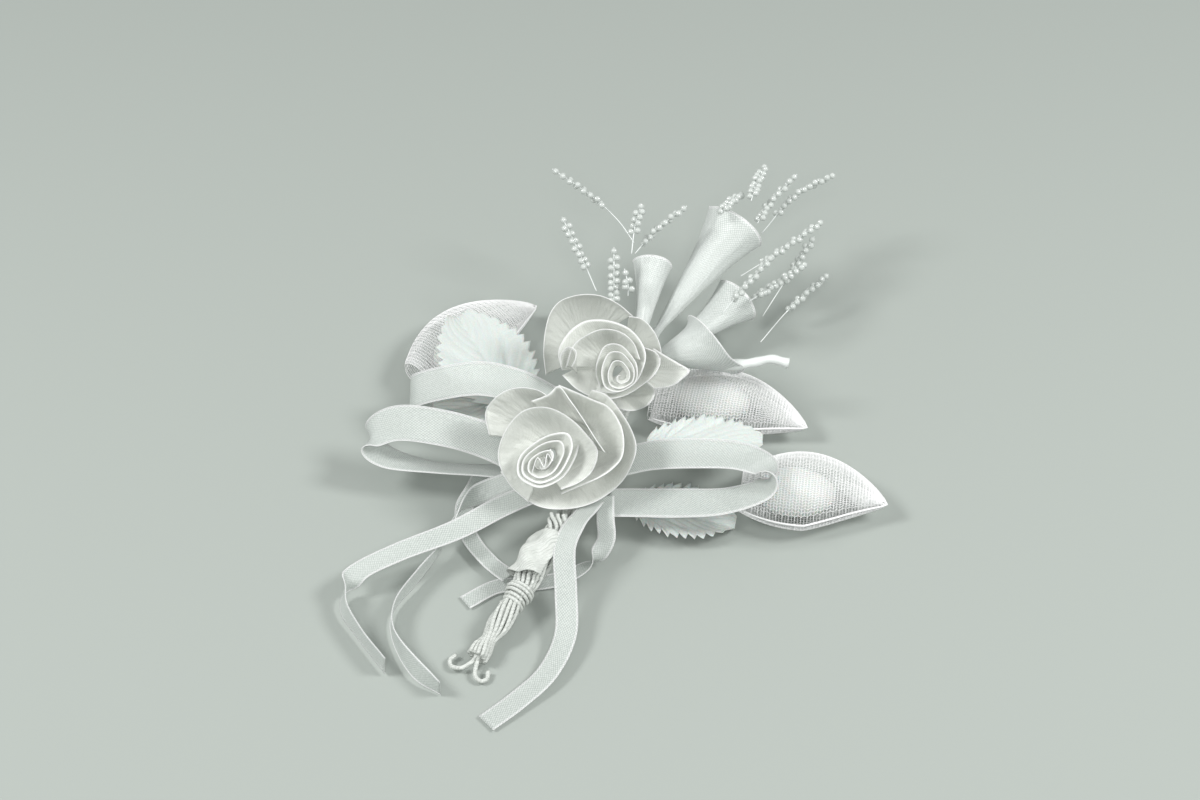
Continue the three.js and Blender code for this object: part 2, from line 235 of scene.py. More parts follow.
def clothPatch(bm, place, across, along, cut, rims="u"):
    # a flat cloth cut = (width, length) in mm, laid where place(u, v) says
    uvs = bm.loops.layers.uv.get("cloth") or bm.loops.layers.uv.new("cloth")
    gaps = bm.verts.layers.float.get("edgeGap") or bm.verts.layers.float.new("edgeGap")
    made = bmesh.ops.create_grid(bm, x_segments=across, y_segments=along, size=0.5)["verts"]
    faces = list({face for vert in made for face in vert.link_faces})
    for face in faces:
        face.smooth = True
        for loop in face.loops:
            loop[uvs].uv = ((loop.vert.co.x + 0.5) * cut[0], (loop.vert.co.y + 0.5) * cut[1])
    for vert in made:
        u, v = vert.co.x + 0.5, vert.co.y + 0.5
        sides = {"u": min(u, 1 - u) * cut[0], "top": (1 - v) * cut[1], "none": farFromEdge}
        vert[gaps] = sides[rims]
        vert.co = place(u, v)
    area = sum(face.calc_area() for face in faces)
    bmesh.ops.recalc_face_normals(bm, faces=faces)
    bmesh.ops.solidify(bm, geom=faces, thickness=clothThick / 1000)
    return area


def cordAlong(bm, points, radius, sides=6, slot=0, radii=None, gap=0.1):
    # a round strand through the given points, closed at both ends
    gaps = bm.verts.layers.float.get("edgeGap") or bm.verts.layers.float.new("edgeGap")
    heading = (points[1] - points[0]).normalized()
    turn = Vector((0, 0, 1)).rotation_difference(heading).to_matrix().to_4x4()
    ring = bmesh.ops.create_circle(bm, cap_ends=True, segments=sides, radius=radius,
                                   matrix=Matrix.Translation(points[0]) @ turn)["verts"]
    every = list(ring)
    edges = list({e for v in ring for e in v.link_edges if all(w in ring for w in e.verts)})
    lastRadius = radius
    for i in range(1, len(points)):
        after = points[min(i + 1, len(points) - 1)]
        nextHeading = (after - points[i - 1]).normalized()
        nextRadius = radii(i / (len(points) - 1)) if radii else radius
        grown = bmesh.ops.extrude_edge_only(bm, edges=edges)["geom"]
        verts = [g for g in grown if isinstance(g, bmesh.types.BMVert)]
        edges = [g for g in grown if isinstance(g, bmesh.types.BMEdge)
                 and all(w in verts for w in g.verts)]
        move = (Matrix.Translation(points[i])
                @ heading.rotation_difference(nextHeading).to_matrix().to_4x4()
                @ Matrix.Scale(nextRadius / lastRadius, 4) @ Matrix.Translation(-points[i - 1]))
        bmesh.ops.transform(bm, matrix=move, verts=verts)
        every += verts
        heading, lastRadius = nextHeading, nextRadius
    bmesh.ops.edgenet_fill(bm, edges=edges)
    faces = list({face for vert in every for face in vert.link_faces})
    for face in faces:
        face.smooth = True
        face.material_index = slot
    for vert in every:
        vert[gaps] = gap
    bmesh.ops.recalc_face_normals(bm, faces=faces)


def finishPiece(name, bm, materials, nodes):
    mesh = bpy.data.meshes.new(name)
    bm.to_mesh(mesh)
    bm.free()
    for material in materials:
        mesh.materials.append(material)
    piece = bpy.data.objects.new(name, mesh)
    bpy.context.scene.collection.objects.link(piece)
    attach(piece, "root")
    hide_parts(*nodes)
    return piece


def clothPiece(name, patches, material, nodes, tail=None):
    # one object of one or more patches, each with a raised woven rim unless its rims are none
    bm = bmesh.new()
    area = 0
    longest = 0
    for patch in patches:
        place, across, along, cut, rims = patch
        area += clothPatch(bm, place, across, along, cut, rims=rims)
        longest = max(longest, cut[1])
        lines = []
        if rims == "u":
            lines = [[place(side, i / along) for i in range(along + 1)] for side in (0, 1)]
        if rims == "top":
            lines = [[place(i / across, 1) for i in range(across + 1)]]
        for line in lines:
            cordAlong(bm, line, rimRadius / 1000, 5)
    if tail:
        cordAlong(bm, tail, 0.0021, 12, 0, lambda t: 0.0012 + 0.0011 * (1 - t) ** 3
                  + 0.0003 * t ** 6 + 0.0001 * math.sin(26 * t), gap=farFromEdge)
    longest = min(longest, area * 1e6 / leastSide)
    piece = finishPiece(name, bm, [material], nodes)
    print(name, "cut", round(area / longest * 1e6), "x", round(longest), "mm")


def ribbonPlace(route, width):
    line = [at(*stop[:3]) for stop in route]
    widths = [Vector(stop[3:]).normalized() for stop in route]

    def place(u, v):
        ahead = (onCurve(line, min(v + 0.01, 1)) - onCurve(line, max(v - 0.01, 0))).normalized()
        side = onCurve(widths, v)
        side = (side - ahead * side.dot(ahead)).normalized()
        return onCurve(line, v) + side * (u - 0.5) * width / 1000
    return place


def pathLength(points):
    return sum((b - a).length for a, b in zip(points, points[1:]))


wideRibbon, narrowRibbon = 6, 5  # mm
tails = {
    "routes": {
        "tailLeftOuter": ("tail_left_outer", wideRibbon, [
            (-22, -23.5, 12, 0.2, 0.8, 0.3), (-31, -28.5, 11.5, 0.2, 0.8, 0.3),
            (-43, -36.5, 11, 0.2, 1, 0.3),
            (-58, -42.5, 9, 0.1, 1, 0.2), (-69, -48, 6.5, 0.2, 0.9, 0.3),
            (-72, -56, 4.5, 0.3, 0.2, 1), (-67, -66, 4, 0.1, 0, 1), (-59.5, -77, 4, 0.1, 0, 1)]),
        "tailLeftInner": ("tail_left_inner", wideRibbon, [
            (-28, -18.5, 11, 0.2, 1, 0.5), (-35, -20.5, 9.5, 0.3, 1, 0.5),
            (-42, -26, 8.8, 0.5, 0.3, 0.9),
            (-46.5, -37, 6, 0.4, 0.2, 1), (-53, -47, 4.2, 0.2, 0.2, 1), (-58.5, -57, 4, 0.2, 0, 1),
            (-58, -67, 4, 0.1, 0, 1), (-52, -77.5, 4, 0.3, 0.3, 1),
            (-45, -84, 3.4, 0.6, -0.6, 0.8)]),
        "tailFront": ("tail_front", wideRibbon, [
            (-5.6, -27, 12.4, 1, 0, 0.1), (-8, -32, 13.4, 1, 0, 0.1), (-11, -38.5, 15, 1, 0, 0.1),
            (-13.4, -45, 13, 1, 0, 0.1), (-13, -55, 7.5, 1, 0, 0),
            (-13, -67, 4.2, 1, -0.1, 0.1), (-17.5, -78, 2.4, 1, -0.5, 0.1),
            (-25, -86, 1.2, 0.7, -0.7, 0), (-33, -93, 0.6, 0.6, -0.8, 0)]),
        "tailRightReturn": ("ribbon_right_return", narrowRibbon, [
            (-2.5, -25.5, 12.6, 1, 0.3, 0.4), (-2.5, -31.5, 10, 1, 0.3, 0.4),
            (-2.5, -36.5, 6.5, 1, 0.2, 0.3),
            (-7, -41.5, 3.2, 0.6, 0.8, 0.1), (-15, -45, 1, 0.2, 1, 0.05),
            (-24, -46.5, 0.6, 0.1, 1, 0), (-32, -47.5, 0.6, 0.2, 1, 0),
            (-40, -53, 0.6, 0.6, 1, 0)]),
        "tailLeftArc": ("ribbon_left_arc", narrowRibbon, [
            (-37, -10.5, 5, -1, 0.1, 0.1), (-39, -16.5, 5, -1, 0.1, 0.2),
            (-41.5, -22, 3.2, -1, 0, 0.2),
            (-39.5, -31, 2.2, -1, -0.3, 0.1), (-34, -39.5, 2, -0.7, -0.7, 0.1),
            (-28.5, -45, 2, -0.7, -0.7, 0)])}}

for name, (node, width, route) in tails["routes"].items():
    place = ribbonPlace(route, width)
    path = [place(0.5, i / 24) for i in range(25)]
    length = pathLength(path)
    bm = bmesh.new()
    clothPatch(bm, place, 6, 60, (width, length * 1000))
    for side in (0.03, 0.97):
        cordAlong(bm, [place(side, i / 60) for i in range(61)], 0.00012, 5)
    tail = finishPiece(name, bm, [ribbonSatin], [node])
    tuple(path[0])
    print(name, "length", round(length * 1000), "mm")
print("tails laid")

loops = {
    "width": 10.2,
    "routes": {
        "loopLeftUpper": ("loop_left_upper", [
            (-17, 5.5, 17.5, 0, 1, 0.3), (-26, 7.5, 21.5, 0, 1, 0.4), (-37, 9.5, 23, 0, 1, 0.4),
            (-49, 10, 20.5, 0, 1, 0.4), (-57.5, 11.5, 15, 0, 1, 0.4), (-53, 15, 7, 0, 1, 0.2),
            (-40, 17.5, 5, 0, 1, 0.1), (-26, 17.5, 5, 0, 1, 0.1)]),
        "loopLeftLower": ("loop_left_lower", [
            (-25, -12.5, 13, 0, 1, 0.4), (-34, -9.5, 17, 0, 1, 0.5), (-46, -7, 19.8, 0, 1, 0.5),
            (-60, -4, 19, 0, 1, 0.5), (-67.8, -5.5, 14.5, 0.1, 1, 0.3),
            (-63, -8.5, 10, 0.1, 1, -0.2), (-50, -11, 8.6, 0, 0.9, -0.5),
            (-38, -12, 8.6, 0, 0.9, -0.5), (-30, -12.5, 8.6, 0, 0.9, -0.4)]),
        "loopRight": ("loop_right", [
            (2, -13, 13, 0.1, 1, 0.1), (11, -13.5, 16.2, 0.1, 1, 0.1),
            (22, -15.5, 19, 0.1, 1, 0.1), (34, -18, 20.5, 0.1, 1, 0), (41.5, -22.5, 20, 0, 1, -0.1),
            (40.5, -26.5, 17, -0.1, 1, -0.2), (30, -28.5, 14, -0.1, 1, -0.1),
            (18, -27, 11.5, -0.1, 1, 0), (7, -25.5, 10, -0.1, 1, 0), (-1.5, -25, 9.5, 0, 1, 0)])}}

for name, (node, route) in loops["routes"].items():
    place = ribbonPlace(route, loops["width"])
    length = pathLength([place(0.5, i / 60) for i in range(61)]) * 1000
    clothPiece(name, [(place, 8, 90, (loops["width"], length), "u")], ribbonSatin, [node])
print("loops made")


def petalPlace(centre, rim, root, rise, spread, curl=0.0, ripple=0.0):
    # cloth between a rim and the gathered foot, in the flower's own right, up and forward
    rimLine = [Vector(p) for p in rim]
    rootLine = [Vector(p) for p in root]

    def place(u, v):
        top, foot = onCurve(rimLine, u), onCurve(rootLine, u)
        across = v ** spread
        x = between(foot.x, top.x, across)
        y = between(foot.y, top.y, across)
        out = Vector((x, y, 0)).normalized() if x * x + y * y > 1e-6 else Vector((1, 0, 0))
        lipped = curl * max(v - 0.8, 0) / 0.2
        x += out.x * lipped
        y += out.y * lipped
        h = between(foot.z, top.z, v ** rise) + ripple * v * math.sin(19 * u) - abs(lipped) * 0.4
        c = 0.7071
        return at(centre[0] + x, centre[1] + (y - h) * c, centre[2] + (y + h) * c)
    return place


def spiralRim(bud, start):
    # rim points of a wound bud: an oval spiral stretched along lean, its middle drifting
    first, last, turns = bud["first"], bud["last"], bud["turns"]
    stretch, lean, height = bud["stretch"], bud["lean"], bud["height"]
    stops = []
    count = int(turns * 10)
    for i in range(count + 1):
        t = i / count
        angle = start + t * turns * 2 * math.pi
        r = between(first, last, t ** 0.62) * (1 + 0.07 * math.sin(3 * angle + 1))
        a, b = r * stretch * math.cos(angle), r / stretch * math.sin(angle)
        x, y = (bud["middle"][k] + bud["shift"][k] * t for k in (0, 1))
        stops.append((x + a * math.cos(lean) - b * math.sin(lean),
                      y + a * math.sin(lean) + b * math.cos(lean),
                      between(height[0], height[1], t) - 3.5 * max(0, t - 0.93) / 0.07))
    return stops


def footOf(count, middleAt, radius, depth, start, sweep):
    return [(middleAt[0] + radius * math.cos(start + sweep * i / (count - 1)),
             middleAt[1] + radius * math.sin(start + sweep * i / (count - 1)), depth)
            for i in range(count)]


def deeper(bud, rim, share, drop):  # the foot of a wound strip: further in and lower
    feet = []
    for i, p in enumerate(rim):
        t = i / (len(rim) - 1)
        x, y = (bud["middle"][k] + bud["shift"][k] * t for k in (0, 1))
        feet.append((between(x, p[0], share), between(y, p[1], share), p[2] - drop * min(1, 3 * t)))
    return feet


lowerRose = {
    "centre": (-13.4, -19.1, 25),
    "bud": {"middle": (-6.0, -4.0), "shift": (1.6, 1.4), "first": 0.7, "last": 8.0, "turns": 3.4,
            "stretch": 1.25, "lean": 0.72, "height": (8.4, 7.4)},
    "cup": [(-9.5, -14.3, 1), (-14.5, -9.5, 2.5), (-17.3, -3, 4.5), (-16, 3.2, 6), (-12, 8.6, 7),
            (-7.5, 10.4, 7.5), (-2.8, 9.8, 7.8), (2, 6.8, 8), (5.8, 2.8, 8), (8.2, -0.8, 7.6),
            (7, -5.6, 7), (3.6, -8.7, 6.4), (-1, -10.6, 6)],
    "crumple": [(-8.6, -6.4, 8.6), (-7.2, -2.6, 9), (-5.4, -5, 9.2), (-4.6, -1.6, 8.8),
                (-3.2, -3.4, 8.4), (-3.8, -0.2, 8)],
    "fold": [(-9, 12.5, 3), (-4.5, 14.2, 5), (-1.6, 16.4, 6), (1.4, 12.8, 7.6), (5, 7.6, 8.6),
             (8, 2.8, 9), (10.7, -1.1, 8)],
    "foldBack": [(-1.6, 16.4, 5.4), (2.6, 14.6, 5), (7, 12.6, 4), (11.5, 10.5, 3),
                 (14.6, 5.8, 3.4), (15.4, 1.2, 4.4), (14.8, -2.6, 5), (12.4, -5.4, 5.4),
                 (9, -7.6, 5.6), (4, -9.8, 5), (-1, -12, 3.6)],
    "outer": [(6.8, 14.8, -1), (10.7, 13.4, 0), (14.4, 9, 1), (17.3, 4, 1.6), (18.3, 0, 2),
              (17.3, -4, 2), (14.6, -8.7, 1.4), (10, -12.6, 1), (5, -14.9, 0.6), (-1, -15.8, 0.4),
              (-7, -15, 0.4), (-12.4, -11.4, 0.6), (-16.6, -6.2, 1)],
    "back": [(-20, 3, -3), (-21, 8.8, -1.6), (-19, 12.4, -0.6), (-15.6, 14.8, 0),
             (-11.4, 15.6, 0.2), (-7, 14.8, 0), (-3.4, 12.4, -0.6)]}
upperRose = {
    "centre": (-1.5, 12.6, 28),
    "bud": {"middle": (3.4, -5.2), "shift": (-1.4, 2.2), "first": 0.6, "last": 6.6, "turns": 3.2,
            "stretch": 1.1, "lean": 1.7, "height": (7.8, 6.8)},
    "swirl": [(-12.6, -3.4, 1), (-13.6, 1.6, 2.6), (-11, 6.4, 4), (-7, 9.4, 5), (-3, 10, 5.6),
              (1, 9.4, 6), (5.4, 7.5, 6), (8.6, 3.8, 6), (9.7, 0, 5.6), (8.2, -4.8, 5),
              (6, -7.4, 4.6),
              (1.5, -9.4, 4), (-3.4, -8.6, 3.6)],
    "wrapped": [(-11.6, -2.6, 4), (-9.6, 3, 6.2), (-6, 5.8, 7.2), (-1.6, 7.4, 7.6), (3, 6.6, 7.6),
                (6.4, 3.8, 7.2), (8.2, -0.6, 6.6)],
    "ear": [(-13.2, -3, 3), (-13.4, 0.6, 5), (-11.4, 2.8, 6.2), (-9.2, 1.8, 6.6), (-9.4, -0.6, 6.2),
            (-10.4, -2.6, 5)],
    "gather": [(10, -6, -1), (12.6, -9, -2), (11, -12.6, -3), (7, -14.4, -3.6), (3, -14, -4),
               (-1, -13, -5)],
    "side": [(9, 2.6, 4.6), (12.4, 1.2, 4.6), (13.5, -1.4, 4.4), (12, -4.4, 4), (9, -7, 3.6),
             (4, -10, 3), (-2, -10.8, 2), (-8, -8.6, 1), (-12.4, -4.6, 0.4)]}


budRim = spiralRim(lowerRose["bud"], 3.4)
clothPiece("roseLower", [
    (petalPlace(lowerRose["centre"], budRim, deeper(lowerRose["bud"], budRim, 0.6, 3.2), 1, 1), 200,
     6, (120, 6), "top"),
    (petalPlace(lowerRose["centre"], lowerRose["cup"], footOf(10, (-4, -3), 5, 1.5, -2.2, -7.0),
                1.4, 0.6, 0.5, 0.2), 130, 12, (75, 20), "top"),
    (petalPlace(lowerRose["centre"], lowerRose["crumple"],
                [(x, y, z - 2) for x, y, z in lowerRose["crumple"]], 1, 1), 60, 4, (16, 3), "top"),
    (petalPlace(lowerRose["centre"], lowerRose["fold"], footOf(7, (2, 1), 6, -1, 2.4, -2.6), 1.2,
                0.7), 70, 10, (32, 20), "top"),
    (petalPlace(lowerRose["centre"], lowerRose["foldBack"], footOf(8, (1, 0), 7, -4, 1.9, -4.2),
                1.4, 0.6, 0.4, 0.2), 110, 12, (62, 20), "top"),
    (petalPlace(lowerRose["centre"], lowerRose["outer"], footOf(10, (0, 0), 5.5, -7, 1.5, -5.2),
                1.5, 0.5, 0.8, 0.3), 140, 12, (85, 22), "top"),
    (petalPlace(lowerRose["centre"], lowerRose["back"], footOf(8, (-3, 2), 6, -6, 3.1, -1.7), 1.4,
                0.6, 0.6, 0.2), 80, 12, (40, 22), "top")],
    softSatin, ["rose_lower"])

budRim = spiralRim(upperRose["bud"], 1.0)
clothPiece("roseUpper", [
    (petalPlace(upperRose["centre"], budRim, deeper(upperRose["bud"], budRim, 0.6, 2.8), 1, 1), 160,
     6, (90, 5), "top"),
    (petalPlace(upperRose["centre"], upperRose["swirl"], footOf(10, (1, -2), 4, 1, 3.5, -6), 1.4,
                0.6, 0.4, 0.2), 120, 12, (60, 16), "top"),
    (petalPlace(upperRose["centre"], upperRose["wrapped"], footOf(8, (1, -2), 4, 1.6, 3.3, -2.6),
                1.3, 0.6, 0.3, 0.25), 90, 10, (36, 12), "top"),
    (petalPlace(upperRose["centre"], upperRose["ear"], footOf(5, (-8, -3), 1.6, 1, 3.4, 0.8), 1.1,
                0.8), 50, 6, (14, 6), "top"),
    (petalPlace(upperRose["centre"], upperRose["side"], footOf(8, (0, -1), 4.4, -4, 0.5, -3.9), 1.5,
                0.5, 0.6, 0.2), 100, 12, (45, 16), "top"),
    (petalPlace(upperRose["centre"], upperRose["gather"], footOf(6, (3, -9), 2, -8, 0.2, -2.6), 1.1,
                0.8, 0.3, 0.9), 90, 12, (30, 12), "top")],
    softSatin, ["rose_upper"])

backPetals = {
    "dome": [(-18.4, -5, -5), (-19, 1, -3.4), (-18.6, 7, -2), (-17.2, 12.4, -1.2),
             (-14.6, 16, -1), (-10.6, 17.8, -0.6), (-6, 18.4, -0.4), (-1.6, 17.8, -0.8),
             (3, 15.6, -1.6), (7, 12.4, -2.6)],
    "right": [(5.6, 11.6, -1), (9.4, 10.6, -0.6), (12.4, 7.4, -0.4), (14.2, 3.4, -0.8),
              (14.4, 0, -1.4), (12.8, -5, -2)],
    "point": [(12.4, 2.6, -1), (16, 0.4, -0.8), (19.4, -1.6, -0.4), (22.3, -3.6, 0),
              (20.4, -5.8, -0.4), (17.4, -7.8, -1), (12.4, -8.6, -1.8)]}
clothPiece("roseUpperBackPetals", [
    (petalPlace(upperRose["centre"], backPetals["dome"], footOf(8, (-4, 2), 5, -9, 3.6, -2.4), 1.3,
                0.75, -0.8), 110, 16, (60, 24), "top"),
    (petalPlace(upperRose["centre"], backPetals["right"], footOf(6, (3, 0), 4, -8, 1.2, -1.6), 1.3,
                0.7), 70, 12, (26, 18), "top")],
    softSatin, ["rose_upper_outer_petal"])
clothPiece("roseUpperPointedPetal", [
    (petalPlace(upperRose["centre"], backPetals["point"], footOf(7, (5, -3), 3, -5, 0.6, -1.4), 1.2,
                0.9), 60, 12, (28, 14), "top")],
    softSatin, ["rose_upper_side_petal"])
print("roses wound")

callas = {  # each is wound from turn, where its rim reaches furthest
    "callaLeft": {"node": "calla_left", "base": (7.5, 31, 18.5), "mouth": (11.5, 53.5, 26.5),
                  "radius": 5.4, "slant": 0.3, "turn": 1.43, "flat": 0.8, "cut": (38, 28),
                  "neck": 0, "belly": 0.9, "corner": 0.3},
    "callaBack": {"node": "calla_back", "base": (8.5, 31.6, 12.8), "mouth": (35.5, 67, 29),
                  "radius": 9.4, "slant": 0.4, "turn": 1.2, "flat": 0.85, "cut": (62, 46),
                  "neck": 0.2, "belly": 0.95, "corner": 2.2},
    "callaMiddle": {"node": "calla_middle", "base": (19, 34.6, 11), "mouth": (36, 50, 15.4),
                    "radius": 7.4, "slant": 0.6, "turn": 0.95, "flat": 0.85, "cut": (46, 28),
                    "neck": 0, "belly": 0.8, "corner": 1.2},
    # the right one is cut on the slant: its far side is short and its near side runs out in a tail
    "callaRight": {"node": "calla_right", "base": (13, 20, 21), "mouth": (27.4, 22.6, 23.4),
                   "radius": 9.2, "slant": 4.4, "turn": -0.35, "flat": 0.98, "cut": (54, 34),
                   "neck": 0, "belly": 0.6, "corner": 0}}
twistedTail = [(29.5, 19, 19.6), (34, 16.4, 21.6), (39, 16.4, 22.4), (44, 17.4, 22.8),
               (49, 16.8, 21.8)]


def callaPlace(values):
    start, end = at(*values["base"]), at(*values["mouth"])
    axis = (end - start).normalized()
    length = (end - start).length
    side = axis.cross(Vector((0, 0, 1))).normalized()
    up = side.cross(axis)

    def place(u, v):
        angle = values["turn"] + (u - 0.5) * 2.25 * math.pi
        grown = max(v - values["neck"], 0) / (1 - values["neck"])
        near = 3 * math.exp(-((u - 0.5) / 0.06) ** 2) * (values["slant"] > 3)
        corner = math.exp(-((angle - values["turn"] - 1.9) / 0.4) ** 2)  # a sharp corner on the rim
        pull = values["slant"] * v ** 3 * math.cos(angle - values["turn"])
        pull += values["corner"] * v ** 5 * corner + near * v ** 8
        body = 0.7 * grown ** values["belly"] + 0.3 * grown ** 4
        wide = between(1.3, values["radius"], body)
        wide += 0.7 * u * v
        fold = 0.18 * v * math.sin(angle * 3 + 4 * v)
        return (start + axis * (v * length + pull / 1000)
                + side * (wide + fold) / 1000 * math.cos(angle)
                + up * (wide + fold) / 1000 * values["flat"] * math.sin(angle))
    return place


for name, values in callas.items():
    clothPiece(name, [(callaPlace(values), 120, 36, values["cut"], "top")], satin,
               [values["node"]],
               tail=[onCurve([at(*stop) for stop in twistedTail], i / 30) for i in range(31)]
               if name == "callaRight" else None)
print("calla lilies rolled")

pouches = {
    "netPetalLeft": {"node": "net_petal_left", "base": (-56, 26), "tip": (-23, 57), "wide": 12.5,
                     "high": 6.3, "floor": 0.2, "bow": 3, "pinch": 0.9},
    "netPetalRightUpper": {"node": "net_petal_right_upper", "base": (11, 17), "tip": (54.5, 6.5),
                           "wide": 11.5, "high": 6.3, "floor": 0.2, "bow": 4,
                           "pinch": 0.9},
    "netPetalRightLower": {"node": "net_petal_right_lower", "base": (35, -17.5),
                           "tip": (74.6, -23), "wide": 13, "high": 6.3, "floor": 0.2, "bow": 2,
                           "pinch": 1.1}}
netting = {"cell": 0.85, "thread": 0.2}  # mm


def pouchPlace(values, upper):
    bx, by = values["base"]
    tx, ty = values["tip"]
    ahead = Vector((tx - bx, ty - by, 0))
    side = Vector((-ahead.y, ahead.x, 0)).normalized()
    middleHeight = values["floor"] + values["high"]

    def place(u, v):
        bulge = max(math.sin(math.pi * (0.14 + 0.86 * v)), 0.0001) ** 0.7
        across = (u - 0.5) * 2
        arch = math.sqrt(max(1 - across ** 2, 0))
        high = bulge * values["high"] * 1.22 * arch
        z = middleHeight + (high if upper else -high)
        slim = 1 - values["pinch"] * max(v - 0.45, 0) * (across < 0)  # the lower edge hollows out
        out = across * values["wide"] * bulge * slim + values["bow"] * math.sin(math.pi * v)
        p = Vector((bx, by, 0)) + ahead * v + side * out
        return at(p.x, p.y, max(z, values["floor"]))
    return place


def netPiece(name, places, node, edges):
    bm = bmesh.new()
    area = 0
    for place, cut in places:
        columns, rows = round(cut[0] / netting["cell"]), round(cut[1] / netting["cell"])
        verts = bmesh.ops.create_grid(bm, x_segments=columns, y_segments=rows, size=0.5)["verts"]
        for i, vert in enumerate(verts):
            u, v = vert.co.x + 0.5, vert.co.y + 0.5
            row = round(v * rows)
            if 0 < u < 1:
                u += (0.5 if row % 2 else 0) / columns  # every other row is set half a cell over
            vert.co = place(min(u, 1), v)
        area += sum(f.calc_area() for f in {f for v in verts for f in v.link_faces})
    bmesh.ops.remove_doubles(bm, verts=bm.verts, dist=0.00005)
    bmesh.ops.wireframe(bm, faces=bm.faces, thickness=netting["thread"] / 1000, use_replace=True,
                        use_even_offset=False, use_boundary=True)
    for line in edges:
        cordAlong(bm, line, 0.0003, 6)
    for face in bm.faces:
        face.smooth = True
    finishPiece(name, bm, [netThread], [node])
    longest = max(cut[1] for place, cut in places) / 1000
    print(name, "cut", round(area / longest * 1000), "x", round(longest * 1000), "mm")


for name, values in pouches.items():
    long = math.dist(values["base"], values["tip"])
    places = [(pouchPlace(values, upper), (values["wide"] * 2.5, long)) for upper in (True, False)]
    outline = [places[0][0](0, i / 40) for i in range(1, 41)]
    outline += [places[0][0](1, 1 - i / 40) for i in range(1, 40)]
    netPiece(name, places, values["node"], [outline])

rearNet = {"near": (16, 30), "far": (37, 35), "rise": 2}


def rearPlace(u, v):
    (x0, y0), (x1, y1) = rearNet["near"], rearNet["far"]
    high = 4 + 1.5 * math.sin(4 * v) + rearNet["rise"] * u
    return at(between(x0, x1, v), between(y0, y1, u), high)


netPiece("netPieceRear", [(rearPlace, (8, 24))], "net_piece_rear",
         [[rearPlace(u, 1) for u in (0, 0.25, 0.5, 0.75, 1)]])

almonds = {
    "half": (11, 7.8, 5.6),
    "left": ("almond_left", (-42.5, 38, 6.8), 0.66),
    "rightUpper": ("almond_right_upper", (28, 17, 6.8), -0.2),
    "rightLower": ("almond_right_lower", (50, -18.7, 6.8), -0.12)}

for key in ("left", "rightUpper", "rightLower"):
    node, centre, turn = almonds[key]
    bm = bmesh.new()
    shaped = bmesh.ops.create_icosphere(bm, subdivisions=4, radius=0.001)["verts"]
    for vert in shaped:  # one end is blunter than the other
        vert.co.y *= 1 - 90 * vert.co.x
    bmesh.ops.scale(bm, vec=almonds["half"], verts=shaped)
    bmesh.ops.rotate(bm, matrix=Matrix.Rotation(turn, 3, "Z"), verts=shaped)
    bmesh.ops.translate(bm, vec=at(*centre), verts=shaped)
    for face in bm.faces:
        face.smooth = True
    finishPiece("almond" + key[0].upper() + key[1:], bm, [sugar], [node])
print("net pouches and almonds made")

leaves = {
    "leafLeftBack": ("leaf_left_back", (-27.5, 6, 14.2), (-45.5, 42, 17), 13, 1.2, 1),
    "leafLeftFront": ("leaf_left_front", (-20, 16, 10), (-51, 9.5, 9.5), 9, 1.5, 1),
    "leafRightUpper": ("leaf_right_upper", (9, -5.5, 12), (41, -6.5, 14.5), 9, 0.8, 0.4),
    "leafRightLower": ("leaf_right_lower", (5, -21, 3), (33, -27, 2), 9, 2, 1)}


def leafPlace(base, apex, half, fold, arch):
    start = Vector(base)
    ahead = Vector(apex) - start
    side = ahead.cross(Vector((0, 0, 1))).normalized()

    def place(u, v):
        across = (u - 0.5) * 2
        tooth = (v * 12) % 1 * min(1, 5 * (1 - v))
        outline = half * (0.1 + 0.82 * math.sin(math.pi * v ** 0.85 * 0.97) ** 0.8)
        wide = outline + 2.2 * tooth * abs(across) ** 6
        fan = math.atan2(across * outline, (v - 0.1) * ahead.length)  # veins fan out from the foot
        sunk = 0
        for vein in range(-3, 4):
            sunk -= 0.55 * math.exp(-((fan - vein * 0.36) * (8 + 26 * abs(v - 0.1))) ** 2)
        rib = abs(((v - 0.5 * abs(across)) * 8) % 1 - 0.5)
        sunk -= 0.3 * math.exp(-(rib * 10) ** 2)
        p = start + ahead * v - side * across * wide
        return at(p.x, p.y, p.z + fold * across ** 2 + arch * math.sin(math.pi * v) + sunk)
    return place


for name, (node, base, apex, half, fold, arch) in leaves.items():
    long = (Vector(apex) - Vector(base)).length
    clothPiece(name, [(leafPlace(base, apex, half, fold, arch), 48, 110, (half * 2, long),
                       "none")], leafSatin, [node])
print("leaves stamped")

pearls = {"size": 1.9, "pitch": 2.05, "thread": 0.16, "apart": 0.95, "step": 3.1}
# a strand has beads along so many steps at the end of its route
strands = {
    1: (5, [(6, 60, 29), (1, 67, 32), (-7, 71, 38), (-18, 78, 42)]),
    2: (5, [(-5, 39, 29), (-9, 47, 34), (-15, 61, 38)]),
    3: (5, [(0, 36, 27), (0, 42, 31), (0, 50, 36)]),
    4: (2, [(4, 37, 29), (4, 39, 31.5), (3, 43, 34)]),
    5: (3, [(5, 46, 37), (6, 53, 41), (8, 60, 44)]),
    6: (5, [(6, 50, 33.5), (12, 55, 38), (21, 60, 43)]),
    7: (5, [(31, 60, 40.5), (34, 67, 38.8), (38, 75, 35)]),
    8: (5, [(40, 66.5, 39.5), (42, 75, 39.5), (45, 84, 38.5)]),
    9: (6, [(42, 64, 33), (46, 70, 36), (54, 78, 40)]),
    10: (7, [(44, 70, 24), (54, 80, 30), (66, 84, 35)]),
    11: (7, [(37, 51, 24), (48, 59, 26), (62, 71, 28)]),
    12: (5, [(44, 50, 9), (51, 60, 14), (60, 73, 20)]),
    13: (5, [(31, 36, 23), (37, 42, 27), (46, 52, 31)]),
    14: (7, [(39, 40, 24.2), (46, 48, 22.6), (57, 60, 21)]),
    15: (5, [(43, 40, 8), (52, 53, 9), (64, 63, 14)])}

